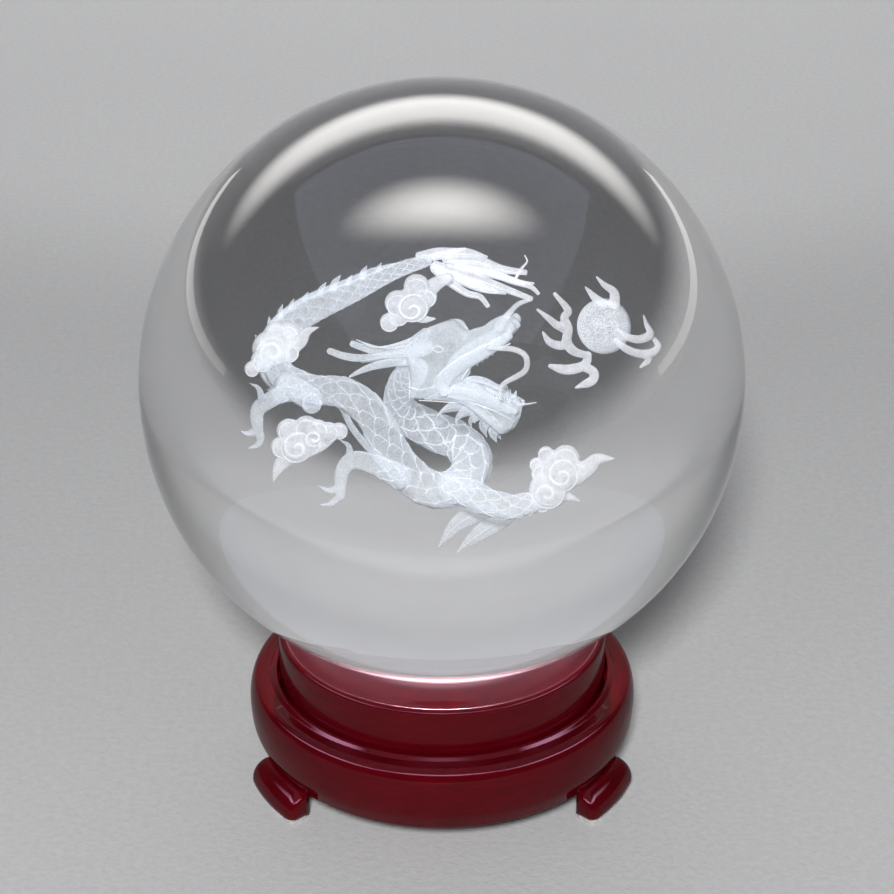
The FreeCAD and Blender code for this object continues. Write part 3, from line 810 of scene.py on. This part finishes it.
def cloud(name, lobes, tails, curls):
    """A puffy cloud: lobes run together and edged with lines, tails, and curls on big lobes."""
    rough = Build()
    for x, y, z, r in lobes:
        rough.ball((x, y, z), r, (1, LOBE_DEPTH, 1))
    for route, radii in tails:
        rough.strand(route, 24, radii, sides=14, flat=0.8)
    build = melded(rough, 0.1, 3)
    t = np.linspace(0, 1, 44)
    for *lobe, spin in curls:
        lobe_line(build, lobe, lobe[3] * (0.95 - 0.75 * t), spin * (0.9 + t * CURL_TURNS),
                  [0.05, 0.12, 0.13, 0.1], 1)
    heart = np.mean([lobe[:3] for lobe in lobes], axis=0)
    for lobe in lobes:
        out = math.atan2(lobe[2] - heart[2], lobe[0] - heart[0])
        lobe_line(build, lobe, 0.84 * lobe[3] * np.ones(26),
                  out + np.linspace(-HALF_RIM, HALF_RIM, 26), [0.03, 0.08, 0.03], 2)
    return engraved(name, build, [DENSE, CURL, LINE])


# name: lobes (x, y, z, radius), tails (route, radii), curls (x, y, z, radius, way round)
CLOUDS = {
    "cloud_top": (
        [(-2.6, 4, 5.4, 1.6), (-2.2, 4.5, 7, 1.1), (-3.8, 4, 5.6, 1.15),
         (-4.5, 3.6, 3.9, 0.85), (-3.7, 3.8, 4.4, 0.9), (-1.4, 4.3, 6, 1)],
        [([(-1.8, 4.4, 5.8), (-0.6, 5, 6.8), (0.6, 5.2, 7.4)], [0.9, 0.7, 0.45]),
         ([(-2.6, 4, 4.8), (-1.6, 4, 4), (-0.5, 4, 4)], [0.8, 0.45, 0.08])],
        [(-2.6, 4.0, 5.4, 1.45, 1)]),
    "cloud_left": (
        [(-15.3, 0, 3.3, 1.75), (-13.9, 1, 4.1, 1.3), (-16.2, -1, 2.6, 1.1),
         (-17.2, -1.5, 2, 0.75), (-14.9, 0.6, 4.6, 1), (-13.7, -0.2, 3, 1)],
        [([(-14, 0, 3.2), (-12.7, 0, 3.9), (-12.1, 0, 4.9), (-11, 0, 5.4)],
          [1.0, 0.7, 0.45, 0.08])],
        [(-15.3, 0.0, 3.3, 1.5, -1)]),
    "cloud_low": (
        [(-13.1, -4, -4.3, 1.75), (-13.8, -4, -3, 1.15), (-12.2, -4, -2.7, 1.15),
         (-11.2, -4, -2.9, 1), (-10.2, -4, -3.1, 0.95), (-9.2, -4, -3, 0.8),
         (-11.8, -4, -4.3, 1), (-14.4, -4, -4.6, 1)],
        [([(-13.4, -4, -5), (-14.3, -4, -6.2), (-14.7, -4, -7), (-15, -4, -8)],
          [1.2, 0.8, 0.5, 0.08]),
         ([(-12.5, -4, -5), (-10.8, -4, -4.4), (-9.6, -4, -3.6)], [0.9, 0.6, 0.3])],
        [(-13.1, -4, -4.3, 1.45, 1), (-11.5, -4, -3.5, 0.95, -1)]),
    "cloud_right": (
        [(10.8, -6, -6.3, 1.85), (9.6, -6.4, -7.8, 1.8), (9.4, -5.6, -4.6, 0.75),
         (11.2, -5.6, -5, 1.25), (8.5, -5.6, -5.6, 0.65), (9.1, -5.8, -6.4, 1.1),
         (12.2, -5.9, -6.3, 1.1), (9, -6.4, -8.9, 1)],
        [([(12, -6, -6.6), (13.3, -6, -5.8), (14.2, -6, -5), (15.8, -6, -5)],
          [1.0, 0.85, 0.55, 0.1]),
         ([(10.4, -6.4, -8.4), (11.4, -6.4, -8.5), (12.4, -6.2, -9)], [0.7, 0.4, 0.1])],
        [(10.9, -6, -6.2, 1.5, 1), (9.5, -6.4, -7.9, 1.3, -1)]),
}


def flaming_pearl():
    build = Build()
    build.ball((15, -2, 6.6), 2.58, rows=48)
    return engraved("flaming_pearl", build, [GRAINY])


PEARL_WISPS = [  # route, radii
    ([(13.4, -3.3, 4.2), (12.2, -3.8, 4.9), (11.6, -4, 6), (11.8, -4, 7.4),
      (11.5, -4, 8.6), (11.9, -4, 9.4), (10.7, -4, 11.2)], [0.35, 0.5, 0.45, 0.4, 0.2]),
    ([(11.6, -4, 7.2), (10.7, -4.3, 8), (9.9, -4.5, 8.9), (9, -4.5, 9.7)], [0.4, 0.42, 0.3, 0.15]),
    ([(11.8, -4, 5.6), (10.9, -4.2, 5.7), (10, -4.4, 6.2), (9.4, -4.5, 7.3)],
     [0.35, 0.45, 0.35, 0.12]),
    ([(13.4, -3.2, 4.3), (13.3, -3.4, 3.6), (12.8, -3.6, 3.2), (11.4, -4, 3.1),
      (9.9, -4.4, 3.7)], [0.4, 0.45, 0.5, 0.45, 0.2]),
    ([(12.9, -3.6, 3.2), (13.9, -3.8, 2.8), (13.8, -4, 2), (12.2, -4.3, 1.4)],
     [0.4, 0.5, 0.45, 0.12]),
    ([(16.2, -2, 8.9), (16.3, -2, 10.3), (15.4, -2, 11.1), (14.7, -2, 12)], [0.6, 0.5, 0.35, 0.12]),
    ([(15.2, -2, 9), (14.4, -2, 9.6), (13.5, -2, 10.8)], [0.5, 0.4, 0.12]),
    ([(16.7, -4.2, 7.5), (17.6, -4.2, 6.7), (18.8, -3.9, 6.3), (19.9, -3.4, 6.6),
      (19.5, -3, 7.4), (19.3, -3, 8.5)], [0.3, 0.4, 0.45, 0.5, 0.35, 0.1]),
    ([(16.4, -4.2, 6.3), (17.4, -4.2, 5.4), (18.6, -3.8, 4.7), (19.8, -3.4, 4.6),
      (20.5, -3.1, 5.2), (19.9, -3, 6.2)], [0.3, 0.42, 0.45, 0.5, 0.4, 0.2]),
    ([(19, -3.7, 4.6), (19.4, -3.5, 3.9), (18.5, -3.5, 3.1)], [0.4, 0.35, 0.15])]


def pearl_flames():
    rough = Build()
    for route, radii in PEARL_WISPS:
        rough.strand(route, 36, radii, sides=12, flat=0.7)
    build = melded(rough, 0.09, 2)
    return engraved("pearl_flames", build, [DENSE])


def engraving_pieces():
    made = [dragon_body(), dragon_crest(), dragon_head(), dragon_jaw(), dragon_antlers(),
            dragon_whiskers(), dragon_tail_tuft(), dragon_foreleg_left(), dragon_hindleg(),
            dragon_foreleg_right(), dragon_leg_flames(), flaming_pearl(), pearl_flames()]
    made += [cloud(name, *shape) for name, shape in CLOUDS.items()]
    for piece in made:
        node = piece.name.removesuffix("_marks")
        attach(piece, "ball")
        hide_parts(node)


# ---------------------------------------------------------------- ball and stand
def glass_ball():
    build = Build()
    build.ball(tuple(BALL_CENTRE), BALL_R, rows=160)
    ball = make_object("glass_ball", np.vstack(build.verts), build.faces, build.slots, [crystal()])
    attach(ball, "ball")
    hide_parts("crystal_ball")


def rounded(corners, steps=7):
    """An outline of (radius, height, fillet) corners with each corner turned into an arc."""
    points = []
    n = len(corners)
    for i, (r, z, fillet) in enumerate(corners):
        here = np.array((r, z))
        if fillet == 0:
            points.append(here)
            continue
        before = np.array(corners[i - 1][:2]) - here
        after = np.array(corners[(i + 1) % n][:2]) - here
        a, b = unit(before), unit(after)
        reach = fillet / math.tan(math.acos(np.clip(a.dot(b), -1, 1)) / 2)
        for t in np.linspace(0, 1, steps):
            ends = here + a * reach, here + b * reach
            points.append((1 - t) ** 2 * ends[0] + 2 * t * (1 - t) * here + t * t * ends[1])
    return points


def smooth_outline(points, count):
    """A smooth curve through (radius, height) points."""
    flat = curve([(r, 0, z) for r, z in points], count)
    return [(p[0], p[2], 0) for p in flat]


def at_turn(shape, angle):
    """An outline of (radius, height) turned to its place round the stand."""
    return [(r * math.cos(angle), r * math.sin(angle), z) for r, z in shape]


def stand_object(name, build, material):
    """Millimetres from the stand's foot to metres in the frame."""
    verts = np.vstack(build.verts) * MM
    return make_object(name, verts, build.faces, build.slots, [material])


def turned_ring(name, outline, material, sides=240):
    """Turn an outline all the way round the stand's axis."""
    rows = np.array([at_turn(outline, turn - math.pi / 2)
                     for turn in np.radians(np.linspace(0, 360, sides, endpoint=False))])
    count = len(outline)
    faces = []
    for i in range(sides):
        here, after = i * count, (i + 1) % sides * count
        for j in range(count):
            k = (j + 1) % count
            faces.append((here + j, after + j, after + k, here + k))
    build = Build()
    build.add(rows.reshape(-1, 3), faces)
    return stand_object(name, build, material)


def turned_bar(name, outline, material, sides, degrees, front, end_round):
    """Turn an outline through part of a circle, with rounded ends.

    front is the way its middle faces, in degrees round from the stand's front."""
    outline = np.array(outline)
    heart = outline.mean(0)
    span = np.abs(outline - heart).max(0)
    turns = np.radians(np.linspace(0, degrees, sides + 1))
    rows = []
    for turn in turns:
        shape = outline
        reach = heart[0] * min(turn - turns[0], turns[-1] - turn)
        if reach < end_round:
            inset = end_round * (1 - math.sqrt(1 - (1 - reach / end_round) ** 2))
            shape = heart + (outline - heart) * (1 - END_INSET * inset / span)
        angle = turn - math.radians(degrees / 2) + math.radians(front) - math.pi / 2
        rows.append(at_turn(shape, angle))
    build = Build()
    build.rings(rows)
    return stand_object(name, build, material)


SHOULDER = [(25.3, 14.57), (26.2, 14.1), (26.75, 12.7), (26.9, 10.7), (26.6, 7.8), (25.6, 5.35)]
BASE_OUTLINE = [(2.5, 8.3, 0), (2.5, 13, 0), (22.6, 13, 0.1), (23, 13.2, 0.1),
                (23, 15.2, 0.25), (23.6, 15.2, 0.3), (24.05, 14.66, 0.3),
                (25.1, 14.6, 0.1)] + smooth_outline(SHOULDER, 48) + [
                (25.4, 5.1, 0.1), (4.6, 5.1, 0.2), (4.6, 8.3, 0)]
DISH = [(21.9, 21.6), (20.2, 21.28), (18.2, 21.05), (16, 20.86), (14.1, 20.78)]
DRUM_OUTLINE = [(2.3, 13.65, 0), (22.3, 13.65, 0.1), (22.7, 14, 0.1), (22.7, 21.6, 0.75)]
DRUM_OUTLINE += smooth_outline(DISH, 30)
DRUM_OUTLINE += [(13.8, 20.75, 0.12), (13.8, 19.95, 0), (12.6, 19.95, 0), (12.6, 20.3, 0.1),
                 (11.4, 20.3, 0.2), (11.4, 18, 0.3), (0.01, 18, 0), (0.01, 16.6, 0),
                 (2.3, 16.6, 0)]
FOOT_OUTLINE = [(24.2, 0.8, 0.1), (27.2, 0.8, 0.3)] + smooth_outline(
    [(27.8, 1.2), (28, 2), (27.8, 3), (27.2, 4), (26.4, 4.7), (25.7, 5.08)], 24) + [
    (24.2, 5.08, 0.1)]
PAD_OUTLINE = [(24.6, 0, 0.15), (27.2, 0, 0.15), (27.2, 0.8, 0.1), (24.6, 0.8, 0.1)]
FEET = {"left": -60.0, "right": 60.0, "rear": 180.0}  # degrees round from the front
END_INSET = 0.8  # how much of a bar's end rounding draws its outline in


def dress(piece, body, node):
    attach(piece, body)
    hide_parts(node)


def stand():
    red = lacquer("stand_lacquer")
    clear = soft_clear()
    base = turned_ring("base_lacquered", rounded(BASE_OUTLINE), red)
    dress(base, "stand", "base_body")
    drum = turned_ring("drum_lacquered", rounded(DRUM_OUTLINE), lacquer("drum_lacquer", 0.13))
    dress(drum, "turntable", "seat_drum")
    for place, front in FEET.items():
        foot = turned_bar("foot_" + place + "_lacquered", rounded(FOOT_OUTLINE), red,
                          sides=60, degrees=26.0, front=front, end_round=1.7)
        dress(foot, "stand", "foot_" + place)
        pad = turned_bar("foot_pad_" + place + "_clear", rounded(PAD_OUTLINE), clear,
                         sides=48, degrees=22.0, front=front, end_round=0.3)
        dress(pad, "stand", "foot_pad_" + place)
    finishes = {"seat_rubber": rubber(),
                "screw_steel": metal("screw_steel", (0.62, 0.61, 0.6), 0.3),
                "insert_brass": metal("insert_brass", (0.8, 0.6, 0.28), 0.25),
                "bush_nylon": plastic("bush_nylon", (0.8, 0.78, 0.72), 0.5),
                "glide_plastic": plastic("glide_plastic", (0.85, 0.85, 0.84), 0.35)}
    slots = {part["node"]: part["material_slot"] for part in frame["record"]["subparts"]}
    for name, obj in frame["nodes"].items():
        if slots[name] in finishes:
            obj.data.materials.clear()
            obj.data.materials.append(finishes[slots[name]])


# ---------------------------------------------------------------- camera, floor, lights
CAMERA_DISTANCE = 8.95  # from the ball's centre, in ball radii
CAMERA_RISE = math.radians(26.0)
CAMERA_DIP = math.radians(1.4)  # looks this much below the ball's centre
CAMERA_YAW = math.radians(0.12)  # and this much to the right of it
LENS = 108.7  # mm, for a 36 mm wide sensor


def camera():
    data = bpy.data.cameras.new("camera")
    data.sensor_width = 36
    data.lens = LENS
    data.clip_start, data.clip_end = 0.01, 20
    cam = bpy.data.objects.new("camera", data)
    back = Vector((0, -math.cos(CAMERA_RISE), math.sin(CAMERA_RISE)))
    cam.location = BALL_CENTRE + back * BALL_R * CAMERA_DISTANCE
    cam.rotation_euler = (math.pi / 2 - CAMERA_RISE - CAMERA_DIP, 0, -CAMERA_YAW)
    bpy.context.scene.collection.objects.link(cam)
    bpy.context.scene.camera = cam


def hang(name, data, place, aim):
    """A lamp at its place, turned towards its aim."""
    lamp = bpy.data.objects.new(name, data)
    lamp.location = place
    lamp.rotation_euler = (Vector(aim) - Vector(place)).to_track_quat("-Z", "Y").to_euler()
    bpy.context.scene.collection.objects.link(lamp)
    return lamp


def area_light(name, place, aim, width, height, radiance, colour=(1, 1, 1),
               lights_matt=True, reflects=True, seen_through=True, fades_from=None):
    """A softbox. radiance is its brightness, even over its face unless it fades."""
    data = bpy.data.lights.new(name, "AREA")
    data.shape = "RECTANGLE"
    data.size, data.size_y = width, height
    data.energy = radiance * math.pi * width * height
    data.color = colour
    if fades_from is not None:
        fade(data, fades_from)
    lamp = hang(name, data, place, aim)
    lamp.visible_diffuse = lights_matt
    lamp.visible_glossy = reflects
    lamp.visible_transmission = seen_through
    return lamp


def fade(light, start):
    """Full brightness out to start, dark from the edges on: 0 is the middle, 0.5 an edge."""
    light.use_nodes = True
    n = Nodes(light.node_tree)
    where = n.node("ShaderNodeNewGeometry").outputs["Parametric"]
    away = n.node("ShaderNodeVectorMath", {0: where, 1: (0.5, 0.5, 0)}, operation="DISTANCE")
    dim = n.node("ShaderNodeMapRange", {"Value": away.outputs["Value"], "From Min": start,
                                        "From Max": 0.5, "To Min": 1, "To Max": 0},
                 interpolation_type="SMOOTHSTEP")
    n.tree.links.new(dim.outputs["Result"], n.tree.nodes["Emission"].inputs["Strength"])


def spot(name, place, aim, power, degrees, blend, radius=0.03):
    """A spot lamp that makes no highlight and isn't seen through the glass."""
    data = bpy.data.lights.new(name, "SPOT")
    data.energy = power
    data.spot_size = math.radians(degrees)
    data.spot_blend = blend
    data.shadow_soft_size = radius
    lamp = hang(name, data, place, aim)
    lamp.visible_glossy = lamp.visible_transmission = False
    return lamp


def shine_only_on(names, lamps, only_their_shadows=False):
    """These lamps light the named objects alone, and may be shadowed by them alone."""
    chosen = bpy.data.collections.new("lit")
    for name in names:
        chosen.objects.link(bpy.data.objects[name])
    for lamp in lamps:
        lamp.light_linking.receiver_collection = chosen
        if only_their_shadows:
            lamp.light_linking.blocker_collection = chosen


# The floor's profile: flat to SWEEP_START, a quarter round of SWEEP_R, then up to SWEEP_TOP.
SWEEP_HALF = 3.0
SWEEP_START, SWEEP_R, SWEEP_TOP = 0.5, 0.22, 1.2


def sweep():
    """A plain pale floor that curves up into a wall, far behind the ball."""
    profile = [(y, 0.0) for y in (-SWEEP_HALF, -0.6, 0.0, SWEEP_START)]
    for a in np.linspace(0, math.pi / 2, 25)[1:]:
        profile.append((SWEEP_START + SWEEP_R * math.sin(a), SWEEP_R * (1 - math.cos(a))))
    profile.append((SWEEP_START + SWEEP_R, SWEEP_TOP))
    verts = [(x, y, z) for x in (-SWEEP_HALF, SWEEP_HALF) for y, z in profile]
    n = len(profile)
    faces = [(i, n + i, n + i + 1, i + 1) for i in range(n - 1)]
    return make_object("floor", verts, faces, [0] * len(faces), [floor_paper()])


# Lamps that show only as highlights, and lamps that only light.
HIGHLIGHT = {"lights_matt": False, "seen_through": False}
UNSEEN = {"reflects": False, "seen_through": False}


def room_lamps():
    """The key light, a weak fill, a ceiling that is only mirrored, and the lit backdrop."""
    spot("key", (-0.04, -0.72, 0.56), (0, 0.06, 0), power=32, degrees=130, blend=0.9, radius=0.06)
    area_light("top_fill", (0, 0, 0.9), BALL_CENTRE, 0.5, 0.5, 0.2, **UNSEEN)
    area_light("ceiling", (0, -0.15, 0.75), (0, -0.15, 0), 1.3, 1.3, 0.7, (0.72, 0.76, 1.0),
               lights_matt=False)
    wash = area_light("backdrop", (0, 0.45, 1.0), (0, 0.72, 0.58), 1.4, 0.15, 3.4, **UNSEEN)
    wash.data.spread = math.radians(105)
    spot("pool", (0, 0.40, 0.62), (0, 0.40, 0), power=2.8, degrees=43, blend=0.2)


def glass_lamps():
    """The highlights of the ball: a glow near its top, an arc above that, a line each side."""
    lamps = [area_light("glow", (0, 0.01, 0.74), BALL_CENTRE, 0.92, 0.4, 14.0,
                        (1, 0.97, 0.92), fades_from=0.0, **HIGHLIGHT),
             area_light("back_high", (0, 0.40, 0.35), (0, 0, 0.1), 1.5, 0.26, 5.8,
                        (1, 0.98, 0.95), fades_from=0.15, **HIGHLIGHT)]
    for name, x in (("rim_left", -0.46), ("rim_right", 0.46)):
        lamps.append(area_light(name, (x, 0.26, 0.11), BALL_CENTRE, 0.7, 0.03, 1.7,
                                (1, 0.97, 0.93), **HIGHLIGHT))
    shine_only_on(["glass_ball"], lamps)


def lacquer_lamps():
    """Strips for the lines along the base, and the light that a ball gathers under itself."""
    lamps = []
    for name, place in (("strip_front", (0, -0.66, 0.58)), ("strip_left", (-0.74, -0.22, 0.56)),
                        ("strip_right", (0.74, -0.22, 0.56))):
        lamps.append(area_light(name, place, (0, 0, 0.01), 1.5, 0.3, 22.0, (1.0, 0.5, 0.8),
                                fades_from=0.1, **HIGHLIGHT))
    seat = spot("seat", (0, 0.42, 0.34), (0, -0.016, 0.021), power=20, degrees=8, blend=0.6,
                radius=0.01)
    seat.visible_glossy = True
    seat.data.color = (1.0, 0.55, 0.65)
    lacquered = ["drum_lacquered", "base_lacquered"] + ["foot_%s_lacquered" % f for f in FEET]
    shine_only_on(lacquered, lamps + [seat], only_their_shadows=True)


def faint_sky():
    world = bpy.data.worlds.new("world")
    world.use_nodes = True
    sky = world.node_tree.nodes["Background"]
    sky.inputs["Color"].default_value = (0.9, 0.93, 1.0, 1)
    sky.inputs["Strength"].default_value = 0.07
    bpy.context.scene.world = world


camera()
glass_ball()
stand()
sweep()
room_lamps()
glass_lamps()
lacquer_lamps()
faint_sky()
engraving_pieces()

cycles = bpy.context.scene.cycles
cycles.transparent_max_bounces = 48
cycles.transmission_bounces = 16
cycles.max_bounces = 20
cycles.caustics_refractive = False
cycles.caustics_reflective = False
bpy.context.scene.view_settings.view_transform = "Standard"
